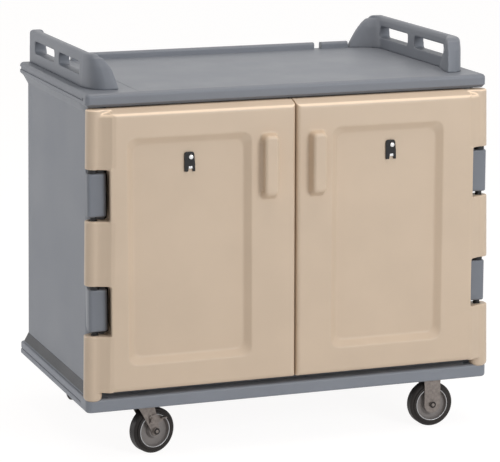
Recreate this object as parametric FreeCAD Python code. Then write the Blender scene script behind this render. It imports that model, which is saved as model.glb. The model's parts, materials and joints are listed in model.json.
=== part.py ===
"""Enclosed meal tray cart: a two-door insulated cabinet on four casters.

Millimetres. The floor is Z = 0 and the doors face -Y. The origin lies on the floor at the
middle of the cart's overall width and of its depth, door grips and bumper included.
"""
import FreeCAD
import Part
import math
import os

V = FreeCAD.Vector
UP = V(0, 0, 1)

# ---------------------------------------------------------------- driving dimensions
# Worktop
deck_width = 1150.0
deck_depth = 688.0
deck_thickness = 37.0
deck_corner = 12.0
deck_edge_round = 11.0
deck_under_bevel = 8.0
groove_height = 9.0
groove_depth = 7.0
groove_end = 26.0
groove_drop = 12.0
rim_height = 19.0
rim_thickness = 22.0
rim_gap = 23.0
rim_gap_x = 330.5
rim_round = 7.0
seat_width = 149.0
seat_drop = 0.5

# Cabinet
cabinet_height = 823.0
cabinet_inset = 19.0
wall_draft = 10.0
cabinet_front_corner = 42.0
cabinet_back_corner = 10.0
frame_setback = 36.0
eave_height = 24.0
eave_start = 110.0
side_wall = 51.0
back_wall = 40.0
divider_thickness = 40.0
cavity_floor = 84.0
roof_thickness = 31.0
cavity_corner = 18.0

# Base and bumper
base_height = 36.0
bumper_reach = 11.0
bumper_corner = 16.0
bumper_bulge = 16.0
bumper_round = 5.0
bumper_bevel = 3.0
bumper_groove = 4.0
groove_gap = 3.0
ridge_setback = 1.0
ridge_round = 4.0
flare_height = 28.0
flare_inset = 7.0
flare_lap = 4.0
flare_front_setback = 40.0
flare_skin = 0.5
caster_pocket_depth = 18.0
pocket_margin = 12.0
pocket_half_width = 39.0
pocket_corner = 10.0
column_pocket_depth = 2.0
column_pocket_gap = 3.0

# Doors
door_proud = 40.0
door_gap = 4.0
door_round = 12.0
slab_bottom = 58.0
slab_head_gap = 3.0
crown_drop = 12.0
crown_depth = 34.0
slab_outer = 60.0
door_draft = 16.0
door_seat_gap = 6.0
door_back_bevel = 8.0
door_edge_bevel = 3.0
recess_low = 129.0
recess_head = 77.0
recess_slope = 19.0
recess_depth = 16.0
recess_corner = 40.0
plug_depth = 10.0
plug_clearance = 8.0
plug_bevel = 6.0

# Hinges
hinge_inset = 17.0
hinge_setback = 4.0
column_radius = 25.0
column_bottom = 31.0
column_head_gap = 3.0
column_foot_round = 13.0
column_head_bevel = 3.0
crease_depth = 5.0
web_thickness = 28.0
web_lap = 4.0
lower_knuckle_low = 222.0
upper_knuckle_drop = 173.0
lower_knuckle_height = 115.0
upper_knuckle_height = 117.0
knuckle_width = 52.0
knuckle_shift = 8.0
knuckle_front_inset = 11.0
knuckle_round = 9.0
knuckle_bevel = 3.0
knuckle_root = 1.0
notch_above = 11.0
notch_below = 10.0
notch_side = 11.0
pin_radius = 7.0
pin_engagement = 36.0
pin_end_gap = 1.0
sleeve_radius = 10.0
washer_radius = 14.0
running_clearance = 0.05
seat_clearance = 0.3

# Door grips
grip_head = 83.0
grip_length = 179.0
grip_width = 48.0
grip_proud = 32.0
grip_lean = 5.0
grip_foot_slope = 16.0
grip_corner = 13.0
grip_bevel = 5.0
undercut_radius = 9.0
undercut_offset = 1.0
undercut_depth = 11.0
undercut_margin = 22.0

# Menu clips
clip_drop = 145.0
clip_width = 36.0
clip_height = 51.0
clip_thickness = 5.0
clip_corner = 5.0
clip_bevel = 1.5
clip_slot = 7.0
clip_slot_height = 12.0
rivet_radius = 5.0
rivet_height = 3.0
rivet_rise = 11.0
rivet_side = 4.0
rivet_bevel = 1.5

# Layout of each door across its face: distances from the middle of the cart
right_recess = (102.5, 431.0)
right_grip_x = 58.0
right_clip_x = 279.0
left_recess = (128.0, 476.0)
left_grip_x = 80.0
left_clip_x = 299.0

# Gaskets, catches
gasket_width = 10.0
gasket_offset = 3.0
magnet_size = (60.0, 4.0, 22.0)
magnet_from_middle = 55.0
magnet_drop = 8.0
strike_thickness = 2.0
strike_foot = 26.0
strike_margin = 4.0

# Tray rails
panel_thickness = 3.0
ledge_reach = 22.0
ledge_thickness = 6.0
ledge_brace = 7.0
ledge_count = 10
ledge_first = 46.0
ledge_last_drop = 29.0
panel_front = 26.0
panel_back_gap = 2.0
panel_margin = 10.0
stop_height = 7.0
stop_length = 12.0

# Push handles: plan sections at the foot, the shoulder and the top
handle_section_heights = (0.0, 60.0, 93.0)
handle_outer_insets = (28.0, 29.0, 30.0)
handle_wall_widths = (35.0, 30.0, 26.0)
handle_front_insets = (59.5, 70.5, 85.5)
nose_insets = (49.0, 43.0, 35.0)
nose_widths = (32.0, 26.0, 20.0)
nose_depth = 3.0
nose_runs = (104.0, 87.0, 63.0)
flare_runs = (169.0, 110.0, 48.0)
tail_reaches = (84.0, 67.0, 22.0)
tail_runs = (73.5, 60.0, 43.5)
tail_depths = (18.5, 15.0, 11.5)
nose_bow = (0.65, 0.30)
flare_bow = (0.71, 0.54)
tail_bow = (0.70, 0.36)
handle_round = 10.0
crest_angles = (0.0, 30.0, 60.0, 84.0)
nose_share = 1.5
tail_share = 0.4
slot_starts = (160.5, 413.5)
slot_length = 205.0
slot_low = 30.5
slot_height = 34.0
slot_round = 10.0

# Casters
floor_clearance = 138.0
wheel_radius = 63.5
tread_width = 31.0
tyre_thickness = 12.0
tyre_shoulder = 4.0
web_half = 5.0
rim_depth = 8.0
rim_lip = 4.0
hub_radius = 17.0
hub_slope = 5.0
hub_width = 35.0
bore_radius = 5.0
caster_row = 32.0
swivel_inset = 153.0
rigid_inset = 144.0
trail = 33.0
front_swivel_angle = 14.0
back_swivel_angle = 240.0
fork_plate = 3.5
fork_side_gap = 1.0
axle_boss_radius = 13.0
rigid_leg_width = 48.0
crown_radius = 31.0
leg_top_width = 50.0
leg_top_shift = 3.0
race_radius = 27.0
race_height = 9.0
race_bevel = 3.0
plate_length = 92.0
plate_width = 76.0
plate_thickness = 4.0
plate_corner = 8.0
bolt_head_radius = 6.5
bolt_head_height = 4.0
plate_bolt_x = 34.0
plate_bolt_y = 29.0
axle_head_radius = 9.0
axle_head_height = 5.0
axle_head_bevel = 2.0
axle_nut_height = 6.0
axle_tail = 2.0
kingpin_radius = 6.0
kingpin_head_radius = 10.0
kingpin_head_height = 3.0
pedal_thickness = 2.4
pedal_pivot_ahead = 12.5
pedal_pivot_rise = 33.0
pedal_boss_radius = 6.5
pedal_boss_height = 4.5
pedal_pin_radius = 3.0
pedal_profile = ((-9.0, 11.0), (12.0, 16.0), (33.0, 3.0), (35.0, -7.0),
                 (24.0, -9.0), (9.0, -12.0), (-7.0, -10.0))
pedal_tread = (24.0, 40.0, 3.0, 6.0)
pedal_tread_width = 14.4

# ---------------------------------------------------------------- derived places
base_z = floor_clearance
front_reach = door_proud + grip_proud
deck_front = (front_reach - deck_depth - bumper_reach) / 2
deck_back = deck_front + deck_depth
deck_bottom = base_z + cabinet_height
deck_top = deck_bottom + deck_thickness
half_deck = deck_width / 2
seat_inner = half_deck - seat_width
seat_top = deck_top - seat_drop
rim_back = deck_back - deck_edge_round
rim_front = rim_back - rim_thickness
base_top = base_z + base_height
flare_top = base_top + flare_height
half_top = half_deck - cabinet_inset
half_bottom = half_top + wall_draft
door_face = deck_front - door_proud
frame_front = deck_front + frame_setback
door_back = frame_front - door_seat_gap
cabinet_back = deck_back - cabinet_inset
hinge_x = half_deck - hinge_inset
hinge_y = deck_front + hinge_setback
cavity_ceiling = cabinet_height - roof_thickness
cavity_half = half_top - side_wall
cavity_back = cabinet_back - back_wall
half_divider = divider_thickness / 2
eave_bottom = deck_bottom - eave_height
column_low = base_z + column_bottom
column_high = deck_bottom - column_head_gap
slab_low = base_z + slab_bottom
slab_high = deck_bottom - slab_head_gap
recess_high = slab_high - recess_head
grip_high = slab_high - grip_head
grip_low = grip_high - grip_length
clip_z = slab_high - clip_drop
lower_knuckle = (base_z + lower_knuckle_low, base_z + lower_knuckle_low + lower_knuckle_height)
upper_knuckle = (deck_bottom - upper_knuckle_drop - upper_knuckle_height, deck_bottom - upper_knuckle_drop)
knuckle_levels = (lower_knuckle, upper_knuckle)
knuckle_outer = hinge_x - knuckle_shift + knuckle_width / 2
knuckle_inner = knuckle_outer - knuckle_width
recess_floor_y = door_face + recess_depth
swivel_x = swivel_inset - half_deck
rigid_x = half_deck - rigid_inset
caster_front_y = deck_front + caster_row
caster_back_y = deck_back - caster_row
pocket_top = base_z + caster_pocket_depth
axle_z = wheel_radius
plate_bottom = pocket_top - plate_thickness
race_bottom = plate_bottom - race_height
crown_top = race_bottom - seat_clearance
crown_bottom = crown_top - fork_plate
leg_inner = hub_width / 2 + fork_side_gap
leg_outer = leg_inner + fork_plate
magnet_top = base_z + cavity_ceiling - plug_clearance - magnet_drop
clip_face = recess_floor_y - clip_thickness
column_top_x = half_deck - column_radius


# ---------------------------------------------------------------- shared shapes
def line(a, b):
    return Part.makeLine(a, b)


def arc(a, middle, b):
    return Part.Arc(a, middle, b).toShape()


def corner_arc(centre, radius, start_angle, end_angle):
    """An arc in plan about centre, between two angles in degrees."""
    def at(angle):
        turn = math.radians(angle)
        return centre + V(radius * math.cos(turn), radius * math.sin(turn), 0)
    return arc(at(start_angle), at((start_angle + end_angle) / 2), at(end_angle))


def plan_outline(left, right, front, back, front_radius, back_radius, z):
    """A rectangle in plan with rounded front and back corners, as a closed wire."""
    corners = (
        (V(left + front_radius, front + front_radius, z), front_radius, 180),
        (V(right - front_radius, front + front_radius, z), front_radius, 270),
        (V(right - back_radius, back - back_radius, z), back_radius, 0),
        (V(left + back_radius, back - back_radius, z), back_radius, 90),
    )
    arcs = [corner_arc(centre, radius, start, start + 90) for centre, radius, start in corners]
    edges = []
    for index, piece in enumerate(arcs):
        following = arcs[(index + 1) % len(arcs)]
        start = piece.valueAt(piece.LastParameter)
        edges += [piece, line(start, following.valueAt(following.FirstParameter))]
    return Part.Wire(edges)


def upright_outline(left, right, low, high, radius, y):
    """A rounded rectangle standing in the XZ plane at y, as a closed wire."""
    wire = plan_outline(left, right, low, high, radius, radius, 0)
    wire.rotate(V(0, 0, 0), V(1, 0, 0), 90)
    wire.translate(V(0, y, 0))
    return wire


def prism(wire, direction):
    return Part.Face(wire).extrude(direction)


def skin(wires):
    """A solid ruled between closed wires of equal make, with its faces turned outwards."""
    solid = Part.makeLoft(wires, True, True)
    if solid.Volume < 0:
        solid.reverse()
    return solid


def tapered(low, high, z0, z1):
    """A block whose plan, (left, right, front, back), changes evenly from low at z0 to high at z1."""
    wedge = Part.makeWedge(low[0], z0, -low[3], -high[3], high[0],
                           low[1], z1, -low[2], -high[2], high[1])
    wedge.rotate(V(0, 0, 0), V(1, 0, 0), 90)
    return wedge


def tapered_in_depth(near_face, far_face, y0, y1):
    """A block whose front view, (left, right, low, high), changes evenly from y0 to y1."""
    return Part.makeWedge(near_face[0], y0, near_face[2], far_face[2], far_face[0],
                          near_face[1], y1, near_face[3], far_face[3], far_face[1])


def block(x_range, y_range, z_range):
    x0, x1 = sorted(x_range)
    y0, y1 = sorted(y_range)
    z0, z1 = sorted(z_range)
    return Part.makeBox(x1 - x0, y1 - y0, z1 - z0, V(x0, y0, z0))


def post(radius, low, high, x, y):
    return Part.makeCylinder(radius, high - low, V(x, y, low))


def mirrored(shape):
    return shape.mirror(V(0, 0, 0), V(1, 0, 0))


def edges_where(shape, test):
    """The edges whose every sampled point passes the test."""
    found = []
    for edge in shape.Edges:
        first, last = edge.FirstParameter, edge.LastParameter
        points = [edge.valueAt(first + (last - first) * step / 4) for step in range(5)]
        if all(test(point) for point in points):
            found.append(edge)
    return found


def uprights(shape, test):
    return [edge for edge in edges_where(shape, test) if edge.BoundBox.ZLength > 1]


def near(value, target):
    return abs(value - target) < 0.01


def fused(shapes):
    first, rest = shapes[0], shapes[1:]
    return first.fuse(rest).removeSplitter() if rest else first


def save(name, shape):
    shape.exportStep("parts/" + name + ".step")


def drafted_half(z):
    """Half the cabinet's width at height z: its sides lean out towards the base."""
    return half_top + wall_draft * (deck_bottom - z) / (deck_bottom - base_top)


def door_shift(z):
    """How far the door's outer edge has moved out from its place at the top, at height z."""
    return door_draft * (column_high - z) / (column_high - column_low)


# ---------------------------------------------------------------- worktop
def deck_rim():
    """Low rim along the worktop's back edge between the push handles, with one gap."""
    top = deck_top + rim_height
    rim = block((-seat_inner, seat_inner), (rim_front, rim_back), (deck_top, top))
    crest = edges_where(rim, lambda p: near(p.z, top) and (near(p.y, rim_front) or near(p.y, rim_back)))
    rim = rim.makeFillet(rim_round, crest)
    gap = block((rim_gap_x - rim_gap / 2, rim_gap_x + rim_gap / 2), (rim_front - 1, rim_back + 1),
                (deck_top, top + 1))
    return rim.cut(gap)


def top_deck():
    """Flat worktop with rounded edges, side grooves, handle seats and a low rim at the back."""
    outline = plan_outline(-half_deck, half_deck, deck_front, deck_back,
                           deck_corner, deck_corner, deck_bottom)
    slab = prism(outline, V(0, 0, deck_thickness))
    slab = slab.makeFillet(deck_edge_round, edges_where(slab, lambda p: near(p.z, deck_top)))
    slab = slab.makeChamfer(deck_under_bevel, edges_where(slab, lambda p: near(p.z, deck_bottom)))

    groove_high = deck_top - groove_drop
    groove_low = groove_high - groove_height
    start = deck_front + groove_end + groove_height / 2
    cutters = []
    for side in (-1, 1):
        inner = side * (half_deck - groove_depth)
        outer = side * (half_deck + 1)
        cutters.append(block((inner, outer), (start, deck_back + 1), (groove_low, groove_high)))
        nose = V(min(inner, outer), start, (groove_low + groove_high) / 2)
        cutters.append(Part.makeCylinder(groove_height / 2, abs(outer - inner), nose, V(1, 0, 0)))
        cutters.append(block((side * seat_inner, outer), (deck_front - 1, deck_back + 1),
                             (seat_top, deck_top + 1)))
    return fused([slab.cut(cutters), deck_rim()])


def between(start, end, bow):
    """A point between two others, by one ratio across and another in depth."""
    return V(start.x + (end.x - start.x) * bow[0], start.y + (end.y - start.y) * bow[1], start.z)


def handle_outline(level, inset, drop):
    """Plan of a push handle at one section, drawn in by inset and lowered by drop for its round crest."""
    z = seat_top + handle_section_heights[level] - drop
    outer = half_deck - handle_outer_insets[level] - inset
    inner = outer - handle_wall_widths[level] + 2 * inset
    front = deck_front + handle_front_insets[level] + inset
    back = rim_back - inset * tail_share
    nose_x = outer - nose_insets[level] + inset
    nose_run = nose_runs[level] - inset
    tail_x = inner - tail_reaches[level]
    outer_front = V(outer, front + nose_run, z)
    nose_outer = V(nose_x, front + nose_depth, z)
    nose_inner = V(nose_x - nose_widths[level] + inset * nose_share, front, z)
    inner_front = V(inner, front + flare_runs[level] - inset, z)
    inner_back = V(inner, back - tail_runs[level] + inset * tail_share, z)
    tail_front = V(tail_x, back - tail_depths[level] + 2 * inset * tail_share, z)
    tail_back = V(tail_x, back, z)
    outer_back = V(outer, back, z)
    return Part.Wire([
        arc(outer_front, between(nose_outer, outer_front, nose_bow), nose_outer),
        line(nose_outer, nose_inner),
        arc(nose_inner, between(nose_inner, inner_front, flare_bow), inner_front),
        line(inner_front, inner_back),
        arc(inner_back, between(tail_front, inner_back, tail_bow), tail_front),
        line(tail_front, tail_back),
        line(tail_back, outer_back),
        line(outer_back, outer_front),
    ])


def push_handle():
    """Right push handle: a thin leaning wall with a curved nose, a back buttress and two hand slots."""
    outlines = [handle_outline(0, 0, 0), handle_outline(1, 0, 0)]
    for angle in crest_angles:
        turn = math.radians(angle)
        inset = handle_round * (1 - math.cos(turn))
        drop = handle_round * (1 - math.sin(turn))
        outlines.append(handle_outline(2, inset, drop))
    wall = skin(outlines)
    cutters = []
    low_z = deck_top + slot_low
    for start in slot_starts:
        mouth = plan_outline(deck_front + start, deck_front + start + slot_length,
                             low_z, low_z + slot_height, slot_round, slot_round, 0)
        mouth.rotate(V(0, 0, 0), V(1, 1, 1), 120)
        mouth.translate(V(seat_inner, 0, 0))
        cutters.append(prism(mouth, V(seat_width, 0, 0)))
    return wall.cut(cutters)


# ---------------------------------------------------------------- cabinet
def knuckle(z0, z1):
    """Right-hand hinge knuckle: a rounded block that stands out from the front corner."""
    front = hinge_y - column_radius + knuckle_front_inset
    root_x = drafted_half(z1) - knuckle_root
    root_y = frame_front + cabinet_front_corner
    side_y = hinge_y + pin_radius
    r = knuckle_round
    bend = r * (1 - math.sqrt(0.5))
    inner = knuckle_inner
    outer = knuckle_outer
    edges = [
        line(V(inner, root_y, z0), V(inner, front + r, z0)),
        arc(V(inner, front + r, z0), V(inner + bend, front + bend, z0), V(inner + r, front, z0)),
        line(V(inner + r, front, z0), V(outer - r, front, z0)),
        arc(V(outer - r, front, z0), V(outer - bend, front + bend, z0), V(outer, front + r, z0)),
        line(V(outer, front + r, z0), V(outer, side_y, z0)),
        line(V(outer, side_y, z0), V(root_x, root_y, z0)),
        line(V(root_x, root_y, z0), V(inner, root_y, z0)),
    ]
    lug = prism(Part.Wire(edges), V(0, 0, z1 - z0))
    ends = edges_where(lug, lambda p: (near(p.z, z0) or near(p.z, z1)) and p.y < side_y + 0.01)
    lug = lug.makeChamfer(knuckle_bevel, ends)
    return lug.cut([cabinet_block(), post(pin_radius, z0 - 1, z1 + 1, hinge_x, hinge_y)])


def hinge_knuckles():
    """The two knuckles on the body's right front corner."""
    return Part.makeCompound([knuckle(low, high) for low, high in knuckle_levels])


def cabinet_block():
    """The cabinet's outer form: drafted sides and back with rounded upright corners."""
    body = tapered((-half_bottom, half_bottom, frame_front, cabinet_back + wall_draft),
                   (-half_top, half_top, frame_front, cabinet_back), base_top, deck_bottom)
    body = body.makeFillet(cabinet_front_corner, uprights(body, lambda p: near(p.y, frame_front)))
    return body.makeFillet(cabinet_back_corner, uprights(body, lambda p: p.y > cabinet_back - 1))


def cabinet_shell():
    """Double-walled body: drafted sides and two open-fronted bays."""
    cutters = []
    for side in (-1, 1):
        left, right = sorted((side * half_divider, side * cavity_half))
        bay = plan_outline(left, right, frame_front - cavity_corner - 1, cavity_back, 1, cavity_corner,
                           base_z + cavity_floor)
        cutters.append(prism(bay, V(0, 0, cavity_ceiling - cavity_floor)))
    return cabinet_block().cut(cutters)


def cabinet_eave():
    """Sloped ledge round the body's sides and back, out to the worktop's underside."""
    spread = cabinet_inset - deck_under_bevel
    flare_front = deck_front + eave_start
    eave = tapered((-half_top, half_top, flare_front, cabinet_back),
                   (-half_top - spread, half_top + spread, flare_front, cabinet_back + spread),
                   eave_bottom, deck_bottom)
    eave = eave.makeFillet(cabinet_back_corner, uprights(eave, lambda p: p.y > cabinet_back - 1))
    return eave.cut(cabinet_block())


def ring_band(reach, low, high):
    """The base outline grown by reach beyond the deck, between two heights."""
    outline = plan_outline(-half_deck - reach, half_deck + reach, deck_front - reach, deck_back + reach,
                           bumper_corner, bumper_corner, low)
    return prism(outline, V(0, 0, high - low))


def base_flare():
    """Sloped skirt from the bumper up to the cabinet's sides and back."""
    reach = bumper_reach - flare_inset
    low = (-half_deck - reach, half_deck + reach, frame_front + flare_lap, deck_back + reach)
    half = drafted_half(flare_top) + flare_skin
    back = cabinet_back + drafted_half(flare_top) - half_top + flare_skin
    high = (-half, half, frame_front + flare_front_setback, back)
    flare = tapered(low, high, base_top - flare_lap, flare_top)
    return flare.makeFillet(cabinet_back_corner, uprights(flare, lambda p: p.y > cabinet_back))


def base_skirt():
    """Wrap-around bumper and floor plate, flared up to the cabinet, with caster pockets below."""
    groove_z = base_z + bumper_bulge
    bulge = ring_band(bumper_reach, base_z, groove_z)
    bulge = bulge.makeFillet(bumper_round, edges_where(bulge, lambda p: near(p.z, groove_z)))
    bulge = bulge.makeChamfer(bumper_bevel, edges_where(bulge, lambda p: near(p.z, base_z)))
    web = ring_band(bumper_reach - bumper_groove, groove_z - 1, groove_z + groove_gap + 1)
    ridge = ring_band(bumper_reach - ridge_setback, groove_z + groove_gap, base_top)
    ridge = ridge.makeFillet(ridge_round, edges_where(ridge, lambda p: near(p.z, base_top)))
    plate = fused([bulge, web, ridge, base_flare()]).cut(cabinet_block())

    cutters = []
    for x in (swivel_x, rigid_x):
        for y in (caster_front_y, caster_back_y):
            reach = plate_length / 2 + pocket_margin
            pocket = plan_outline(x - reach, x + reach, y - pocket_half_width, y + pocket_half_width,
                                  pocket_corner, pocket_corner, base_z - 1)
            cutters.append(prism(pocket, V(0, 0, caster_pocket_depth + 1)))
    swing = half_deck + door_draft - hinge_x + column_pocket_gap
    for side in (-1, 1):
        cutters.append(post(swing, column_low - column_pocket_depth, base_top + 1, side * hinge_x, hinge_y))
    return plate.cut(cutters)


def tray_rails(wall_x, inward):
    """Side panel with a column of tray ledges; wall_x is the bay wall, inward is +1 or -1."""
    front = frame_front + panel_front
    back = cavity_back - cavity_corner - panel_back_gap
    low = base_z + cavity_floor + panel_margin
    high = base_z + cavity_ceiling - panel_margin
    face = wall_x + inward * panel_thickness
    tip = face + inward * ledge_reach
    pitch = (high - low - ledge_first - ledge_last_drop) / (ledge_count - 1)
    pieces = [block((wall_x, face), (front, back), (low, high))]
    for step in range(ledge_count):
        top = low + ledge_first + step * pitch
        profile = Part.makePolygon([
            V(face, front, top), V(tip, front, top), V(tip, front, top - ledge_thickness),
            V(face, front, top - ledge_thickness - ledge_brace), V(face, front, top),
        ])
        pieces.append(prism(profile, V(0, back - front, 0)))
        pieces.append(block((face, tip), (front, front + stop_length), (top, top + stop_height)))
    return Part.makeCompound(pieces)


# ---------------------------------------------------------------- doors, modelled on the right
def door_slab():
    """Thick drafted slab with soft front edges and the web that carries the hinge column."""
    meeting = door_gap / 2
    crease_y = hinge_y - column_radius + crease_depth
    web_back = crease_y + web_thickness

    def outer(z):
        return half_deck - slab_outer + door_shift(z)

    slab = tapered((meeting, outer(slab_low), door_face, door_back),
                   (meeting, outer(slab_high), door_face, door_back), slab_low, slab_high)
    rise = crown_drop / crown_depth
    crown = Part.makePolygon([
        V(0, door_face - 1, slab_high - crown_drop - rise), V(0, door_face - 1, slab_high + 1),
        V(0, door_face + crown_depth + 1 / rise, slab_high + 1),
        V(0, door_face - 1, slab_high - crown_drop - rise),
    ])
    slab = slab.cut(prism(crown, V(half_deck, 0, 0)))
    slab = slab.makeFillet(door_round, edges_where(slab, lambda p: near(p.y, door_face)))
    free_edge = edges_where(slab, lambda p: near(p.y, door_back) and near(p.x, meeting))
    slab = slab.makeChamfer(door_edge_bevel, free_edge)
    hinge_edge = uprights(slab, lambda p: near(p.y, door_back) and p.x > half_deck - slab_outer - 1)
    slab = slab.makeChamfer(door_back_bevel, hinge_edge)

    web = tapered((outer(slab_low) - web_lap, column_top_x + door_shift(slab_low), crease_y, web_back),
                  (outer(slab_high) - web_lap, column_top_x + door_shift(slab_high), crease_y, web_back),
                  slab_low, slab_high)
    return fused([slab, web])


def hinge_column():
    """Leaning round column at the door's hinge side, with bevelled ends."""
    foot = V(column_top_x + door_draft, hinge_y, column_low)
    head = V(column_top_x, hinge_y, column_high)
    column = Part.makeCylinder(column_radius, (head - foot).Length, foot, head - foot)
    low_rim = edges_where(column, lambda p: p.z < column_low + 1)
    column = column.makeFillet(column_foot_round, low_rim)
    high_rim = edges_where(column, lambda p: p.z > column_high - 1)
    return column.makeChamfer(column_head_bevel, high_rim)


def door_grip(grip_x):
    """Upright finger grip moulded on the face: rounded head, leaning sides and an undercut."""
    low = grip_low
    high = grip_high
    left = grip_x - grip_width / 2
    right = grip_x + grip_width / 2
    brow_y = door_face - grip_proud
    brow = (left + grip_lean, right - grip_lean, low + grip_foot_slope, high - grip_lean)
    grip = tapered_in_depth(brow, (left, right, low, high), brow_y, door_face)
    uprights = [edge for edge in grip.Edges if edge.BoundBox.YLength > grip_proud - 1]
    grip = grip.makeFillet(grip_corner, uprights)
    grip = grip.makeChamfer(grip_bevel, edges_where(grip, lambda p: near(p.y, brow_y)))
    scoop_at = V(right + undercut_offset, door_face - undercut_depth, low + undercut_margin)
    scoop = Part.makeCylinder(undercut_radius, grip_length - 2 * undercut_margin, scoop_at)
    return grip.cut(scoop)


def door_plug():
    """Bevelled pad on the door's back that fills the mouth of its bay."""
    plug = block((half_divider + plug_clearance, cavity_half - plug_clearance),
                 (door_back, door_back + plug_depth),
                 (base_z + cavity_floor + plug_clearance, base_z + cavity_ceiling - plug_clearance))
    return plug.makeChamfer(plug_bevel, edges_where(plug, lambda p: near(p.y, door_back + plug_depth)))


def door_recess(inner, outer):
    """The shallow panel sunk into the door's face, with sloping walls."""
    over = recess_slope / recess_depth
    low = base_z + recess_low
    mouth = (inner - over, outer + over, low - over, recess_high + over)
    bed = (inner + recess_slope, outer - recess_slope, low + recess_slope, recess_high - recess_slope)
    sunk = tapered_in_depth(mouth, bed, door_face - 1, recess_floor_y)
    corners = [edge for edge in sunk.Edges if edge.BoundBox.YLength > recess_depth]
    return sunk.makeFillet(recess_corner, corners)


def door(recess, grip_x):
    """A door drawn on the right: slab, hinge column, recessed panel, finger grip and rear plug."""
    leaf = fused([door_slab(), hinge_column(), door_plug(), door_grip(grip_x)])
    notches = []
    bores = []
    for low, high in knuckle_levels:
        z0 = low - notch_below
        z1 = high + notch_above
        notches.append(block((knuckle_inner - notch_side, half_deck + door_draft),
                             (door_face - 1, frame_front), (z0, z1)))
        bores.append(post(sleeve_radius, z0 - pin_engagement, z1 + pin_engagement, hinge_x, hinge_y))
    return leaf.cut([door_recess(*recess)] + notches).cut(bores)


def hinge_pins():
    """The right door's two steel pins, held in the knuckles."""
    reach = pin_engagement - pin_end_gap
    shapes = []
    for low, high in knuckle_levels:
        z0 = low - notch_below - reach
        z1 = high + notch_above + reach
        shapes.append(post(pin_radius, z0, z1, hinge_x, hinge_y))
    return Part.makeCompound(shapes)


def hinge_bushes():
    """The right door's four nylon sleeves; the upper ones carry it on thick washers."""
    shapes = []
    for low, high in knuckle_levels:
        notch_high = high + notch_above
        notch_low = low - notch_below
        washer_low = high + seat_clearance
        upper = post(sleeve_radius, washer_low, notch_high + pin_engagement, hinge_x, hinge_y)
        washer = post(washer_radius, washer_low, notch_high, hinge_x, hinge_y)
        lower = post(sleeve_radius, notch_low - pin_engagement, notch_low, hinge_x, hinge_y)
        for sleeve in (fused([upper, washer]), lower):
            box = sleeve.BoundBox
            bore = post(pin_radius + running_clearance, box.ZMin - 1, box.ZMax + 1, hinge_x, hinge_y)
            shapes.append(sleeve.cut(bore))
    return Part.makeCompound(shapes)


def door_gasket():
    """Flat seal on the back of the right door, round the mouth of its bay."""
    low = base_z + cavity_floor
    high = base_z + cavity_ceiling
    depth = frame_front - seat_clearance - door_back

    def ring(reach, radius, y):
        return upright_outline(half_divider - reach, cavity_half + reach,
                               low - reach, high + reach, radius, y)

    outer = prism(ring(gasket_offset + gasket_width, cavity_corner, door_back), V(0, depth, 0))
    inner = prism(ring(gasket_offset, cavity_corner - gasket_width, door_back - 1), V(0, depth + 2, 0))
    return outer.cut(inner)


def catch_magnet():
    """Bar magnet on the plug near the top of the right door's free edge."""
    length, depth, height = magnet_size
    front = door_back + plug_depth
    return block((magnet_from_middle, magnet_from_middle + length), (front, front + depth),
                 (magnet_top - height, magnet_top))


def strike_plate():
    """Angle of sheet steel under the bay's ceiling that the right door's magnet meets."""
    length, depth, height = magnet_size
    width = (magnet_from_middle - strike_margin, magnet_from_middle + length + strike_margin)
    front = door_back + plug_depth + depth + seat_clearance
    ceiling = base_z + cavity_ceiling
    leg = block(width, (front, front + strike_thickness), (magnet_top - height - strike_margin, ceiling))
    foot = block(width, (front, front + strike_foot), (ceiling - strike_thickness, ceiling))
    return fused([leg, foot])


def menu_clip(clip_x):
    """Black spring clip on a door's recessed panel, forked at its foot, drawn on the right."""
    half = clip_width / 2
    low = clip_z - clip_height / 2
    outline = upright_outline(clip_x - half, clip_x + half, low, low + clip_height,
                              clip_corner, recess_floor_y)
    body = prism(outline, V(0, -clip_thickness, 0))
    body = body.makeChamfer(clip_bevel, edges_where(body, lambda p: near(p.y, clip_face)))
    slot = block((clip_x - clip_slot / 2, clip_x + clip_slot / 2), (clip_face - 1, recess_floor_y + 1),
                 (low - 1, low + clip_slot_height))
    return body.cut(slot)


def clip_rivet(clip_x):
    """Bevelled rivet head on a door's menu clip, drawn on the right."""
    centre = V(clip_x + rivet_side, clip_face, clip_z + rivet_rise)
    head = Part.makeCylinder(rivet_radius, rivet_height, centre, V(0, -1, 0))
    return head.makeChamfer(rivet_bevel, edges_where(head, lambda p: near(p.y, clip_face - rivet_height)))


# ---------------------------------------------------------------- casters
def turned(half_profile, centre):
    """Revolve a symmetric (radius, half width) outline about the wheel's axle line along Y."""
    near_side = [centre + V(radius, -half, 0) for radius, half in half_profile]
    far_side = [centre + V(radius, half, 0) for radius, half in reversed(half_profile)]
    face = Part.Face(Part.makePolygon(near_side + far_side + [near_side[0]]))
    return face.revolve(centre, V(0, 1, 0), 360)


def tyre(centre):
    half = tread_width / 2
    return turned([(wheel_radius - tyre_thickness, half), (wheel_radius - tyre_shoulder, half),
                   (wheel_radius, half - tyre_shoulder)], centre)


def wheel_core(centre):
    """Dished wheel centre: hub, thin web and a rim that carries the tyre."""
    rim = wheel_radius - tyre_thickness
    return turned([(bore_radius + running_clearance, hub_width / 2), (hub_radius, hub_width / 2),
                   (hub_radius + hub_slope, web_half), (rim - rim_depth, web_half),
                   (rim - rim_lip, tread_width / 2), (rim, tread_width / 2)], centre)


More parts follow.
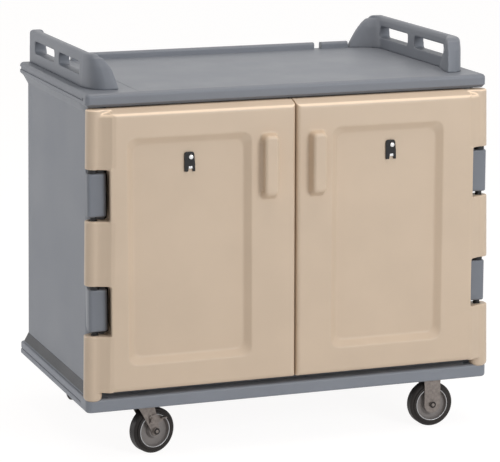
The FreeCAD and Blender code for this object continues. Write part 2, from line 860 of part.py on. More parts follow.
def axle(centre):
    """Axle bolt with a bevelled head at the front and a nut at the back."""
    end = V(0, leg_outer, 0)
    length = 2 * leg_outer + axle_nut_height + axle_tail
    shank = Part.makeCylinder(bore_radius, length, centre - end, V(0, 1, 0))
    head = Part.makeCylinder(axle_head_radius, axle_head_height, centre - end, V(0, -1, 0))
    head_y = centre.y - leg_outer - axle_head_height
    head = head.makeChamfer(axle_head_bevel, edges_where(head, lambda p: near(p.y, head_y)))
    nut = hexagon(axle_head_radius, axle_nut_height)
    nut.rotate(V(0, 0, 0), V(1, 0, 0), -90)
    nut.translate(centre + end)
    return fused([shank, head, nut])


def hexagon(radius, height):
    """A hexagonal prism standing on the origin, radius to its corners."""
    corners = [V(radius * math.cos(turn), radius * math.sin(turn), 0)
               for turn in (math.radians(60 * side) for side in range(7))]
    return prism(Part.makePolygon(corners), V(0, 0, height))


def mount_plate(x, y):
    half_length = plate_length / 2
    half_width = plate_width / 2
    outline = plan_outline(x - half_length, x + half_length, y - half_width, y + half_width,
                           plate_corner, plate_corner, plate_bottom)
    return prism(outline, V(0, 0, plate_thickness))


def caster_bolts():
    """Sixteen hexagon heads under the four mounting plates."""
    shapes = []
    for x in (swivel_x, rigid_x):
        for y in (caster_front_y, caster_back_y):
            for dx in (-plate_bolt_x, plate_bolt_x):
                for dy in (-plate_bolt_y, plate_bolt_y):
                    head = hexagon(bolt_head_radius, bolt_head_height)
                    head.translate(V(x + dx, y + dy, plate_bottom - bolt_head_height))
                    shapes.append(head)
    return Part.makeCompound(shapes)


def fork_legs(legs_outline, foot_x, y):
    """A pair of plates either side of the wheel, bored for the axle."""
    legs = []
    for start in (-leg_outer, leg_inner):
        outline = legs_outline.copy()
        outline.translate(V(0, y + start, 0))
        leg = prism(outline, V(0, fork_plate, 0))
        hole = Part.makeCylinder(bore_radius, fork_plate + 2, V(foot_x, y + start - 1, axle_z), V(0, 1, 0))
        legs.append(leg.cut(hole))
    return legs


def leg_outline(top_left, top_right, top_z, foot_x, foot_radius):
    """Side view of a fork leg in the XZ plane: straight sides down to a half round about the axle."""
    corner_left = V(top_left, 0, top_z)
    corner_right = V(top_right, 0, top_z)
    foot_left = V(foot_x - foot_radius, 0, axle_z)
    foot_right = V(foot_x + foot_radius, 0, axle_z)
    return Part.Wire([
        line(corner_left, corner_right),
        line(corner_right, foot_right),
        arc(foot_right, V(foot_x, 0, axle_z - foot_radius), foot_left),
        line(foot_left, corner_left),
    ])


def rigid_fork(x, y):
    """Fixed fork: two straight legs with round ends under a bridge on the mounting plate."""
    half = rigid_leg_width / 2
    bridge = block((x - half, x + half), (y - leg_outer, y + leg_outer),
                   (plate_bottom - fork_plate, plate_bottom))
    legs = fork_legs(leg_outline(x - half, x + half, plate_bottom, x, half), x, y)
    return fused([bridge] + legs)


def swivel_race(x, y):
    """Upper bearing cup with the headed kingpin that the fork's crown turns on."""
    cup = post(race_radius, race_bottom, plate_bottom, x, y)
    cup = cup.makeChamfer(race_bevel, edges_where(cup, lambda p: near(p.z, race_bottom)))
    head_top = crown_bottom - seat_clearance
    stem = post(kingpin_radius, head_top, race_bottom, x, y)
    head = post(kingpin_head_radius, head_top - kingpin_head_height, head_top, x, y)
    return fused([cup, stem, head])


def swivel_fork(x, y):
    """Raked fork, drawn trailing towards +X: round crown, two narrowing legs."""
    crown = post(crown_radius, crown_bottom, crown_top, x, y)
    middle = x + leg_top_shift
    outline = leg_outline(middle - leg_top_width / 2, middle + leg_top_width / 2,
                          crown_bottom + fork_plate / 2, x + trail, axle_boss_radius)
    bore = post(kingpin_radius + running_clearance, crown_bottom - 1, crown_top + 1, x, y)
    pin_at = V(x + trail - pedal_pivot_ahead, y - leg_outer, axle_z + pedal_pivot_rise)
    pin_length = seat_clearance + pedal_thickness + pedal_boss_height
    pin = Part.makeCylinder(pedal_pin_radius, pin_length, pin_at, V(0, -1, 0))
    return fused([crown, pin] + fork_legs(outline, x + trail, y)).cut(bore)


def brake_pedal(x, y):
    """Pressed-steel wheel brake lever hung outside the near leg, with a tread at its end."""
    face_y = y - leg_outer - seat_clearance - pedal_thickness
    pivot = V(x + trail - pedal_pivot_ahead, face_y, axle_z + pedal_pivot_rise)
    corners = [pivot + V(along, 0, up) for along, up in pedal_profile]
    plate = prism(Part.makePolygon(corners + [corners[0]]), V(0, pedal_thickness, 0))
    start, end, low, high = pedal_tread
    inner_y = face_y + pedal_thickness
    tread = block((pivot.x + start, pivot.x + end), (inner_y - pedal_tread_width, inner_y),
                  (pivot.z + low, pivot.z + high))
    boss = Part.makeCylinder(pedal_boss_radius, pedal_boss_height, pivot, V(0, -1, 0))
    bore = Part.makeCylinder(pedal_pin_radius + running_clearance, pedal_thickness + pedal_boss_height + 2,
                             V(pivot.x, inner_y + 1, pivot.z), V(0, -1, 0))
    return fused([plate, tread, boss]).cut(bore)


def turned_about(shape, x, y, angle):
    copy = shape.copy()
    copy.rotate(V(x, y, 0), UP, angle)
    return copy


def swivel_caster(name, x, y, angle):
    centre = V(x + trail, y, axle_z)
    save(name + "_mount_plate", mount_plate(x, y))
    save(name + "_swivel_race", swivel_race(x, y))
    moving = {"_fork": swivel_fork(x, y), "_brake_pedal": brake_pedal(x, y), "_axle": axle(centre),
              "_wheel": wheel_core(centre), "_tyre": tyre(centre)}
    for suffix, shape in moving.items():
        save(name + suffix, turned_about(shape, x, y, angle))


def rigid_caster(name, x, y):
    centre = V(x, y, axle_z)
    save(name + "_mount_plate", mount_plate(x, y))
    save(name + "_fork", rigid_fork(x, y))
    save(name + "_axle", axle(centre))
    save(name + "_wheel", wheel_core(centre))
    save(name + "_tyre", tyre(centre))


def build():
    os.makedirs("parts", exist_ok=True)
    save("top_deck", top_deck())
    save("cabinet_shell", cabinet_shell())
    save("cabinet_eave", cabinet_eave())
    save("base_skirt", base_skirt())
    save("caster_bolts", caster_bolts())
    right_handed = {
        "push_handle": push_handle(),
        "hinge_knuckles": hinge_knuckles(),
        "door_gasket": door_gasket(),
        "hinge_pins": hinge_pins(),
        "hinge_bushes": hinge_bushes(),
        "catch_magnet": catch_magnet(),
        "strike_plate": strike_plate(),
        "outer_tray_rails": tray_rails(cavity_half, -1),
        "inner_tray_rails": tray_rails(half_divider, 1),
    }
    for name, shape in right_handed.items():
        save("right_" + name, shape)
        save("left_" + name, mirrored(shape))
    save("right_door", door(right_recess, right_grip_x))
    save("right_menu_clip", menu_clip(right_clip_x))
    save("right_clip_rivet", clip_rivet(right_clip_x))
    save("left_door", mirrored(door(left_recess, left_grip_x)))
    save("left_menu_clip", mirrored(menu_clip(left_clip_x)))
    save("left_clip_rivet", mirrored(clip_rivet(left_clip_x)))
    swivel_caster("front_left", swivel_x, caster_front_y, front_swivel_angle)
    swivel_caster("back_left", swivel_x, caster_back_y, back_swivel_angle)
    rigid_caster("front_right", rigid_x, caster_front_y)
    rigid_caster("back_right", rigid_x, caster_back_y)


build()
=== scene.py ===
import json
import math

import bmesh
import bpy
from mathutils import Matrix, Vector

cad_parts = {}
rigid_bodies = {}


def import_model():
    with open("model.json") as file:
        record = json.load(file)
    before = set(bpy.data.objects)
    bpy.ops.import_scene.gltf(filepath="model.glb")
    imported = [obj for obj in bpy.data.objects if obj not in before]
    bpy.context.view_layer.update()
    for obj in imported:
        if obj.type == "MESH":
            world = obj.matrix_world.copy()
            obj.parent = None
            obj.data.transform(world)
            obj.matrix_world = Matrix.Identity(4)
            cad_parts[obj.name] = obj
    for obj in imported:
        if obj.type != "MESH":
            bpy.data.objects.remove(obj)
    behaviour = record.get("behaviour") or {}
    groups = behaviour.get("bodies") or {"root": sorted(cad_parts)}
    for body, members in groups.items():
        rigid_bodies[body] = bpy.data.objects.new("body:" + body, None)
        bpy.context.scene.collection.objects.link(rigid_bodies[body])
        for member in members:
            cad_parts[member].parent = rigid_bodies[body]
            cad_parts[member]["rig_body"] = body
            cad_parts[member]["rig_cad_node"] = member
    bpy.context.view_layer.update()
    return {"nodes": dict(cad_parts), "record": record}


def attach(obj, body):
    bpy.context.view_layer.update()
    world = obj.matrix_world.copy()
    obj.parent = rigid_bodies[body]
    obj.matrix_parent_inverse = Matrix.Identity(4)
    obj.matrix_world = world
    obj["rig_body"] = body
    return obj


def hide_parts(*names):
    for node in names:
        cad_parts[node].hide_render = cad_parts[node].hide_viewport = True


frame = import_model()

nodes = frame["nodes"]

# Shape tables are in millimetres in the frame's coordinates. They are drawn for the right side, where x is
# positive, and SIGN mirrors them, apart from the clips' centres and the wheels' places, which are given for
# each side. Heights in the finishes, bevels, voxels, the rivet's size, lights and the camera are in metres.
MM = 0.001
SIGN = {"left": -1, "right": 1}
CASTERS = ("front_left", "back_left", "front_right", "back_right")
ROUND_STEPS = 24
WHEEL_STEPS = 48

# ---------------------------------------------------------------- finishes
GREY_SHELL = (0.187, 0.202, 0.230)
BEIGE_DOOR = (0.630, 0.502, 0.378)
ZINC = (0.205, 0.180, 0.165)
BRIGHT_PIN = (0.55, 0.55, 0.55)
STRIKE_STEEL = (0.55, 0.55, 0.56)
RIVET_STEEL = (0.75, 0.75, 0.75)
WHEEL_GREY = (0.24, 0.22, 0.21)
RUBBER_BLACK = (0.016, 0.013, 0.012)
TYRE_DUST = (0.12, 0.11, 0.10)
CLIP_BLACK = (0.008, 0.008, 0.009)
RAIL_GREY = (0.30, 0.30, 0.31)

# Scales of the noises, and the spans of noise or sharpness that are stretched to 0 and 1.
FINE_GRAIN = 900.0
COARSE_GRAIN = 140.0
RUBBER_GRAIN = 500.0
MOTTLE_SCALE = 6.0
SPANGLE_SCALE = 120.0
LINE_SCALE = 60.0
LINE_STRETCH = (1.0, 1.0, 30.0)
MOTTLE_SPAN = (0.35, 0.65)
SPANGLE_SPAN = (0.3, 0.7)
EDGE_SPAN = (0.51, 0.56)
FINE_SHARE = 0.7
COARSE_SHARE = 0.3
EDGE_TONE = 1.6
DUST_SHARE = 0.12

# Painted highlight: the doors' beige is made paler on their rounded top edge, where the normal points partly up,
# near the top.
CROWN_HIGHLIGHT_RISE = (0.18, 0.50)
CROWN_HIGHLIGHT_END = (0.72, 0.90)
CROWN_HIGHLIGHT_HEIGHT = (0.915, 0.925)
CROWN_HIGHLIGHT_TONE = 1.5

# The base's sloped ledge lies between the first two heights; the last tone darkens the skirt there as painted shade.
BASE_TOP = (0.174, 0.178)
FLARE_TOP = (0.202, 0.204)
SKIRT_TONE = 1.2
LEDGE_SHADE_TONE = 0.17


class Shader:
    """A small hand for laying out shader nodes in a material or a node group."""

    def __init__(self, tree):
        self.tree = tree

    def put(self, socket, value):
        """Links an output to the socket, or sets the socket's own value."""
        if isinstance(value, bpy.types.NodeSocket):
            self.tree.links.new(value, socket)
        else:
            socket.default_value = value

    def feed(self, node, name, value):
        self.put(node.inputs[name], value)

    def add(self, kind, settings=None, **sockets):
        node = self.tree.nodes.new(kind)
        for key, value in (settings or {}).items():
            setattr(node, key, value)
        for key, value in sockets.items():
            self.feed(node, key.replace("_", " "), value)
        return node

    def math(self, operation, a, b=0.0):
        node = self.add("ShaderNodeMath", {"operation": operation})
        self.put(node.inputs[0], a)
        self.put(node.inputs[1], b)
        return node.outputs[0]

    def mix(self, share, a, b):
        """One colour mixed into another; 0, 6, 7 and 2 are the mix node's colour sockets."""
        node = self.add("ShaderNodeMix", {"data_type": "RGBA"})
        self.put(node.inputs[0], share)
        self.put(node.inputs[6], a)
        self.put(node.inputs[7], b)
        return node.outputs[2]

    def span(self, value, low, high, to_low, to_high):
        node = self.add("ShaderNodeMapRange")
        for name, given in (("Value", value), ("From Min", low), ("From Max", high),
                            ("To Min", to_low), ("To Max", to_high)):
            self.feed(node, name, given)
        return node.outputs["Result"]

    def height(self):
        """The point's height in its piece's coordinates, which are the frame's at rest."""
        place = self.add("ShaderNodeTexCoord").outputs["Object"]
        return self.add("ShaderNodeSeparateXYZ", Vector=place).outputs["Z"]


def rgba(colour):
    return (*colour, 1.0)


def toned(colour, factor):
    return rgba(tuple(min(1.0, channel * factor) for channel in colour))


def new_group(name, inputs, outputs):
    """A shader node group with named sockets, all of them floats."""
    tree = bpy.data.node_groups.new(name, "ShaderNodeTree")
    for label, value in inputs:
        socket = tree.interface.new_socket(name=label, in_out="INPUT", socket_type="NodeSocketFloat")
        socket.default_value = value
    for label in outputs:
        tree.interface.new_socket(name=label, in_out="OUTPUT", socket_type="NodeSocketFloat")
    return tree, tree.nodes.new("NodeGroupInput"), tree.nodes.new("NodeGroupOutput")


def moulded_skin_group():
    """Moulded plastic: fine pebbled grain, slow mottling and paler sharp edges."""
    tree, given, out = new_group("moulded skin", [("Grain Scale", FINE_GRAIN), ("Mottle Scale", MOTTLE_SCALE)],
                                 ["Grain", "Mottle", "Edge"])
    s = Shader(tree)
    place = s.add("ShaderNodeTexCoord").outputs["Object"]
    grain = s.add("ShaderNodeTexNoise", Vector=place, Scale=given.outputs["Grain Scale"], Detail=3.0)
    coarse = s.add("ShaderNodeTexNoise", Vector=place, Scale=COARSE_GRAIN, Detail=2.0)
    mottle = s.add("ShaderNodeTexNoise", Vector=place, Scale=given.outputs["Mottle Scale"], Detail=4.0)
    height = s.math("ADD", s.math("MULTIPLY", grain.outputs[0], FINE_SHARE),
                    s.math("MULTIPLY", coarse.outputs[0], COARSE_SHARE))
    pointed = s.add("ShaderNodeNewGeometry").outputs["Pointiness"]
    edge = s.span(pointed, *EDGE_SPAN, 0.0, 1.0)
    tree.links.new(height, out.inputs["Grain"])
    tree.links.new(s.span(mottle.outputs[0], *MOTTLE_SPAN, 0.0, 1.0), out.inputs["Mottle"])
    tree.links.new(edge, out.inputs["Edge"])
    return tree


def metal_skin_group():
    """Plated metal: blotchy spangle and fine rolling lines."""
    tree, given, out = new_group("metal skin", [("Spangle Scale", SPANGLE_SCALE)], ["Spangle", "Lines"])
    s = Shader(tree)
    place = s.add("ShaderNodeTexCoord").outputs["Object"]
    spangle = s.add("ShaderNodeTexNoise", Vector=place, Scale=given.outputs["Spangle Scale"], Detail=5.0)
    stretched = s.add("ShaderNodeMapping", Vector=place)
    stretched.inputs["Scale"].default_value = LINE_STRETCH
    lines = s.add("ShaderNodeTexNoise", Vector=stretched.outputs[0], Scale=LINE_SCALE, Detail=3.0)
    tree.links.new(s.span(spangle.outputs[0], *SPANGLE_SPAN, 0.0, 1.0), out.inputs["Spangle"])
    tree.links.new(lines.outputs[0], out.inputs["Lines"])
    return tree


def group_node(shader, tree, **values):
    node = shader.add("ShaderNodeGroup", {"node_tree": tree})
    for key, value in values.items():
        node.inputs[key.replace("_", " ")].default_value = value
    return node


def new_material(name):
    material = bpy.data.materials.new(name)
    material.use_nodes = True
    return material, Shader(material.node_tree), material.node_tree.nodes["Principled BSDF"]


def plastic(name, colour, skin, roughness, grain_height, mottle=0.05, edge=0.10):
    """Moulded plastic in one colour, with its grain, mottling and paler sharp edges."""
    material, s, body = new_material(name)
    effect = group_node(s, skin, Grain_Scale=FINE_GRAIN)
    tint = s.mix(effect.outputs["Mottle"], toned(colour, 1 - mottle), toned(colour, 1 + mottle))
    pale = s.mix(s.math("MULTIPLY", effect.outputs["Edge"], edge), tint, toned(colour, EDGE_TONE))
    s.feed(body, "Base Color", pale)
    s.feed(body, "Roughness", s.span(effect.outputs["Mottle"], 0.0, 1.0, roughness - 0.04, roughness + 0.04))
    bump = s.add("ShaderNodeBump", Height=effect.outputs["Grain"], Strength=0.6, Distance=grain_height)
    s.feed(body, "Normal", bump.outputs[0])
    body.inputs["Specular IOR Level"].default_value = 0.4
    return material


def repainted(material, mask_of, colour):
    """Paints the colour over a plastic where the mask that mask_of lays out is 1."""
    s = Shader(material.node_tree)
    body = material.node_tree.nodes["Principled BSDF"]
    painted = body.inputs["Base Color"].links[0].from_socket
    s.feed(body, "Base Color", s.mix(mask_of(s), painted, colour))
    return material


def crown_highlight_mask(s):
    """1 on the rounded edge along a door's top, where a highlight is painted."""
    upward = s.add("ShaderNodeSeparateXYZ", Vector=s.add("ShaderNodeNewGeometry").outputs["Normal"]).outputs["Z"]
    rising = s.span(upward, *CROWN_HIGHLIGHT_RISE, 0.0, 1.0)
    ending = s.span(upward, *CROWN_HIGHLIGHT_END, 1.0, 0.0)
    return s.math("MULTIPLY", s.math("MULTIPLY", rising, ending), s.span(s.height(), *CROWN_HIGHLIGHT_HEIGHT, 0.0, 1.0))


def ledge_shade_mask(s):
    """1 on the base's sloped ledge, where shade is painted."""
    height = s.height()
    above = s.span(height, *BASE_TOP, 0.0, 1.0)
    below = s.span(height, *FLARE_TOP, 1.0, 0.0)
    return s.math("MULTIPLY", above, below)


def door_plastic(name, colour, skin):
    """The doors' beige plastic, with a painted highlight along the top edge."""
    return repainted(plastic(name, colour, skin, 0.40, 0.0005, mottle=0.02, edge=0.15),
                     crown_highlight_mask, toned(colour, CROWN_HIGHLIGHT_TONE))


def skirt_plastic(name, colour, skin):
    """The base's moulding, with painted shade making it darkest on its sloped ledge."""
    return repainted(plastic(name, toned(colour, SKIRT_TONE)[:3], skin, 0.5, 0.0005, mottle=0.04),
                     ledge_shade_mask, toned(colour, LEDGE_SHADE_TONE))


def plated_metal(name, colour, skin, roughness, spangle=0.2):
    material, s, body = new_material(name)
    effect = group_node(s, skin)
    tint = s.mix(effect.outputs["Spangle"], toned(colour, 1 - spangle), toned(colour, 1 + spangle))
    s.feed(body, "Base Color", tint)
    s.feed(body, "Roughness", s.span(effect.outputs["Spangle"], 0.0, 1.0, roughness + 0.08, roughness - 0.06))
    bump = s.add("ShaderNodeBump", Height=effect.outputs["Lines"], Strength=0.3, Distance=0.0001)
    s.feed(body, "Normal", bump.outputs[0])
    body.inputs["Metallic"].default_value = 0.75
    return material


def rubber(name, colour, skin, roughness):
    material, s, body = new_material(name)
    effect = group_node(s, skin, Grain_Scale=RUBBER_GRAIN)
    dust = s.math("MULTIPLY", effect.outputs["Mottle"], DUST_SHARE)
    s.feed(body, "Base Color", s.mix(dust, rgba(colour), rgba(TYRE_DUST)))
    body.inputs["Specular IOR Level"].default_value = 0.25
    s.feed(body, "Roughness", s.span(effect.outputs["Mottle"], 0.0, 1.0, roughness - 0.05, roughness + 0.1))
    bump = s.add("ShaderNodeBump", Height=effect.outputs["Grain"], Strength=0.5, Distance=0.0003)
    s.feed(body, "Normal", bump.outputs[0])
    return material


MOULDED = moulded_skin_group()
PLATED = metal_skin_group()
FINISH = {
    "grey_shell": plastic("slate grey moulded shell", GREY_SHELL, MOULDED, 0.46, 0.0005, mottle=0.03),
    "tan_door": door_plastic("beige moulded door, painted top highlight", BEIGE_DOOR, MOULDED),
    "seal": rubber("black foam seal", RUBBER_BLACK, MOULDED, 0.7),
    "steel_pin": plated_metal("bright steel pin", BRIGHT_PIN, PLATED, 0.3, 0.05),
    "black_nylon": plastic("black nylon", CLIP_BLACK, MOULDED, 0.5, 0.0001, edge=0.0),
    "magnet": plastic("black magnet", RUBBER_BLACK, MOULDED, 0.6, 0.0002, edge=0.0),
    "strike_steel": plated_metal("folded strike steel", STRIKE_STEEL, PLATED, 0.35, 0.08),
    "black_clip": plastic("black clip plastic", CLIP_BLACK, MOULDED, 0.28, 0.0001, edge=0.02),
    "rivet": plated_metal("rivet head", RIVET_STEEL, PLATED, 0.25, 0.05),
    "rail_plastic": plastic("rail plastic", RAIL_GREY, MOULDED, 0.5, 0.0003),
    "zinc": plated_metal("zinc plate", ZINC, PLATED, 0.38),
    "wheel_core": plastic("grey wheel centre", WHEEL_GREY, MOULDED, 0.35, 0.0002, mottle=0.12),
    "tyre": rubber("dark tyre rubber", RUBBER_BLACK, MOULDED, 0.5),
}
SKIRT = skirt_plastic("base skirt with painted ledge shade", GREY_SHELL, MOULDED)
SLOT_OF_NODE = {part["node"]: part["material_slot"] for part in frame["record"]["subparts"]}


# ---------------------------------------------------------------- making pieces
def finish_with(obj, slot):
    obj.data.materials.clear()
    obj.data.materials.append(FINISH[slot])


def added_to(obj, node, slot):
    """The object rides with the CAD node and has a slot's finish; the node stays in view."""
    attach(obj, nodes[node]["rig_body"])
    finish_with(obj, slot)


def stands_for(obj, node):
    """The object rides where the CAD node does, has its finish and is shown in its place."""
    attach(obj, nodes[node]["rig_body"])
    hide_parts(node)
    finish_with(obj, SLOT_OF_NODE[node])
    return obj


def applied(obj):
    """The object with its modifiers made final."""
    graph = bpy.context.evaluated_depsgraph_get()
    made = bpy.data.meshes.new_from_object(obj.evaluated_get(graph))
    obj.modifiers.clear()
    obj.data = made
    return obj


def eased(obj, voxel, rounds):
    """One closed skin round all of the object's parts, with every edge eased."""
    weld = obj.modifiers.new("weld", "WELD")
    weld.merge_threshold = 0.00002
    remesh = obj.modifiers.new("remesh", "REMESH")
    remesh.mode = "VOXEL"
    remesh.voxel_size = voxel
    remesh.use_smooth_shade = True
    ease = obj.modifiers.new("ease", "SMOOTH")
    ease.factor = 0.5
    ease.iterations = rounds
    return applied(obj)


def softened(node, name, voxel, rounds=3, added=()):
    """A moulded version of a CAD node, with further forms grown into it if any are given."""
    obj = nodes[node].copy()
    obj.data = nodes[node].data.copy()
    obj.name = name
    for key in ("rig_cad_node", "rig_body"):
        if key in obj:
            del obj[key]
    obj.parent = None
    bpy.context.scene.collection.objects.link(obj)
    mesh = bmesh.new()
    mesh.from_mesh(obj.data)
    for points, faces in added:
        corners = [mesh.verts.new(point) for point in points]
        for face in faces:
            mesh.faces.new([corners[i] for i in face])
    mesh.to_mesh(obj.data)
    mesh.free()
    return stands_for(eased(obj, voxel, rounds), node)


def linked(name, points, faces):
    """A new object with the given mesh, its faces turned outward."""
    data = bpy.data.meshes.new(name)
    data.from_pydata(points, [], faces)
    mesh = bmesh.new()
    mesh.from_mesh(data)
    bmesh.ops.recalc_face_normals(mesh, faces=mesh.faces)
    mesh.to_mesh(data)
    mesh.free()
    obj = bpy.data.objects.new(name, data)
    bpy.context.scene.collection.objects.link(obj)
    return obj


def stacked(rings):
    """Points and faces of a closed form through rings of equal length."""
    count = len(rings[0])
    points = [point for ring in rings for point in ring]
    faces = [tuple(range(count)), tuple(reversed(range((len(rings) - 1) * count, len(rings) * count)))]
    for level in range(len(rings) - 1):
        base = level * count
        for i in range(count):
            j = (i + 1) % count
            faces.append((base + i, base + j, base + count + j, base + count + i))
    return points, faces


def box_form(xs, ys, zs):
    """Points and faces of a box."""
    (x0, x1), (y0, y1), (z0, z1) = sorted(xs), sorted(ys), sorted(zs)
    rings = [[(x * MM, y * MM, z * MM) for x, y in ((x0, y0), (x1, y0), (x1, y1), (x0, y1))] for z in (z0, z1)]
    return stacked(rings)


def mirrored(sign, low, high):
    return sign * low, sign * high


def round_angles(steps):
    return [i * math.tau / steps for i in range(steps)]


def beveled(obj, width, segments=2):
    bevel = obj.modifiers.new("bevel", "BEVEL")
    bevel.width = width
    bevel.segments = segments
    bevel.limit_method = "ANGLE"
    return applied(obj)


def shade(obj, smooth):
    """Shades each face smooth or flat, as smooth says of it."""
    for polygon in obj.data.polygons:
        polygon.use_smooth = smooth(polygon)


def between(table, height):
    """The value at a height from pairs of height and value."""
    for (low, start), (high, end) in zip(table, table[1:]):
        if height <= high:
            return start + (end - start) * max(0.0, height - low) / (high - low)
    return table[-1][1]


def towards(start, end, shares):
    """The point a share of the way from start to end, with a share for each coordinate."""
    return tuple(a + (b - a) * share for a, b, share in zip(start, end, shares))


def bowed(start, middle, end, steps=10):
    """Points on a smooth bow from start through middle towards end, the end left out."""
    control = [2 * m - (a + b) / 2 for a, m, b in zip(start, middle, end)]
    out = []
    for i in range(steps):
        t = i / steps
        out.append(tuple((1 - t) ** 2 * a + 2 * t * (1 - t) * c + t * t * b
                         for a, c, b in zip(start, control, end)))
    return out


# ---------------------------------------------------------------- push handles
# Each table gives a measure of the plan against the height above the worktop.
SEAT_Z = 997.5
HANDLE_BACK = 363.5
HANDLE_HEIGHT = 93.0
CREST_ROUND = 10.0
CREST_ANGLES = (10, 25, 40, 55, 70, 84)
WALL_LEVELS = 16
WALL_STEP = 5.5
OUTER_FACE = ((0, 547.0), (93, 545.0))
WALL_WIDTH = ((0, 35.0), (60, 30.0), (93, 26.0))
FRONT_EDGE = ((0, -254.0), (60, -243.0), (93, -228.0))
NOSE_CORNER = ((0, -174.0), (60, -190.0), (93, -190.0))
NOSE_REACH = {"left": ((0, 81.0), (25, 73.5), (52, 64.0), (71, 51.0), (81, 43.0), (93, 34.0)),
              "right": ((0, 62.0), (60, 57.0), (93, 52.0))}
FLARE_RUN = {"left": ((0, 169.0), (60, 110.0), (93, 48.0)),
             "right": ((0, 120.0), (60, 80.0), (93, 60.0))}
TAIL_REACH = {"left": ((0, 15.0), (93, 13.0)),
              "right": ((0, 82.0), (18, 74.0), (35, 65.0), (49, 57.0), (62, 48.0), (73, 39.0), (83, 28.0),
                        (93, 19.0))}
TAIL_RUN = ((0, 73.5), (60, 60.0), (93, 43.5))
TAIL_DEPTH = ((0, 18.5), (60, 15.0), (93, 11.5))
BROW_SHARE = 0.32
NOSE_BOW = (0.32, 0.73)
FLARE_BOW = (0.30, 0.46)
TAIL_BOW = (0.30, 0.64)
HAND_SLOTS = ((-153.0, 52.0), (100.0, 305.0))
SLOT_ACROSS = (440, 600)
SLOT_HEIGHTS = (1028.5, 1062.5)
SLOT_BEVEL = 0.009


def handle_ring(side, height, inset, drop):
    """Plan of a push handle at a height, drawn in by inset and lowered by drop at its crest."""
    outer = between(OUTER_FACE, height) - inset
    inner = outer - between(WALL_WIDTH, height) + 2 * inset
    front = between(FRONT_EDGE, height) + inset
    back = HANDLE_BACK - inset
    tip = outer - between(NOSE_REACH[side], height) + 2 * inset
    corner = (outer, between(NOSE_CORNER, height) + inset)
    brow = (tip + (outer - tip) * BROW_SHARE, front + 1.0)
    waist = (inner, front + between(FLARE_RUN[side], height))
    tail_x = inner - between(TAIL_REACH[side], height) + inset * 0.3
    tail_root = (inner, back - between(TAIL_RUN, height))
    tail_tip = (tail_x, back - between(TAIL_DEPTH, height))
    plan = bowed(corner, towards(corner, (brow[0], front), NOSE_BOW), brow)
    plan += [brow, ((brow[0] + tip) / 2, front)]
    plan += bowed((tip, front), towards((tip, front), waist, FLARE_BOW), waist)
    plan += [waist]
    plan += bowed(tail_root, towards(tail_root, tail_tip, TAIL_BOW), tail_tip)
    plan += [tail_tip, (tail_x, back), (outer, back)]
    return [(SIGN[side] * x * MM, y * MM, (SEAT_Z + height - drop) * MM) for x, y in plan]


def push_handle_skin(side):
    """A push handle with its curved nose, its hand slots and, on the right, its tall back buttress."""
    steps = [(level * WALL_STEP, 0.0, 0.0) for level in range(WALL_LEVELS)]
    for angle in CREST_ANGLES:
        turn = math.radians(angle)
        steps.append((HANDLE_HEIGHT, CREST_ROUND * (1 - math.cos(turn)), CREST_ROUND * (1 - math.sin(turn))))
    obj = linked(side + "_push_handle_skin", *stacked([handle_ring(side, *step) for step in steps]))
    for run in HAND_SLOTS:
        cutter = linked("slot cutter", *box_form(mirrored(SIGN[side], *SLOT_ACROSS), run, SLOT_HEIGHTS))
        beveled(cutter, SLOT_BEVEL, 4)
        cut = obj.modifiers.new("slot", "BOOLEAN")
        cut.operation = "DIFFERENCE"
        cut.object = cutter
        applied(obj)
        bpy.data.objects.remove(cutter)
    return stands_for(eased(obj, HANDLE_VOXEL, 4), side + "_push_handle")


# ---------------------------------------------------------------- doors' further forms
DOOR_FOOT = 169.0
DOOR_HEAD = 958.0
FOOT_LEAN = 16.0
SLAB_SPANS = ((196.0, 350.0), (486.0, 661.0), (799.0, 946.0))
CROWN_START = 940.0
CROWN_SINK = ((-8.0, 0.0), (-1.0, 3.0), (8.5, 26.0))
NOTCH_SPANS = ((350.0, 486.0), (661.0, 799.0))
NOTCH_OVERLAP = 3.0
NOTCH_EDGE = ((496.0, 522.0), (-353.2, -337.5))
CREASE_PLAN = ((549.0, -334.0), (539.0, -337.5), (524.0, -345.5), (513.0, -352.0), (504.0, -352.0),
               (504.0, -326.0), (549.0, -326.0))


def lean(z):
    """How far a door's hinge side stands out at a height, from its draft."""
    return FOOT_LEAN * (DOOR_HEAD - z) / (DOOR_HEAD - DOOR_FOOT)


def door_fillers(side):
    """Slopes from a door's hinge column to its slab, and squarer slab edges beside the knuckles."""
    sign = SIGN[side]
    forms = []
    for low, high in SLAB_SPANS:
        ends = CROWN_SINK if high > CROWN_START else ((0.0, 0.0),)
        steps = [(low, 0.0)] + [(high + rise, sunk) for rise, sunk in ends]
        forms.append(stacked([[(sign * (x + lean(z)) * MM, (y + sunk) * MM, z * MM) for x, y in CREASE_PLAN]
                              for z, sunk in steps]))
    across, deep = NOTCH_EDGE
    for low, high in NOTCH_SPANS:
        forms.append(box_form(mirrored(sign, *across), deep, (low - NOTCH_OVERLAP, high + NOTCH_OVERLAP)))
    return forms


# ---------------------------------------------------------------- menu clips
CLIP_CENTRE = {"left": -299.0, "right": 279.0}
CLIP_LOW = 781.8
CLIP_FACES = (-342.4, -337.4)
CLIP_PLAN = ((-14.5, 0), (-15.0, 46), (-13.5, 51), (-9.5, 53.2), (7.5, 53.2), (11.5, 51), (13.0, 46), (15.0, 22),
             (15.5, 0), (8.0, 0), (7.5, 8), (-3.8, 8), (-4.2, 0))
CLIP_BEVEL = 0.0012
TAB_ACROSS = (-3.6, 7.2)
TAB_HEIGHTS = (8, 14.5)
TAB_PROUD = 0.3
TAB_BEVEL = 0.0008
RIVET_SHIFT = 3.4
RIVET_Z = 821.2
RIVET_RADIUS = 0.0064
RIVET_HEIGHT = 0.0028
DOME_PROFILE = ((1.0, -0.3), (1.0, 0.45), (0.86, 0.8), (0.55, 0.96), (0.2, 1.0))


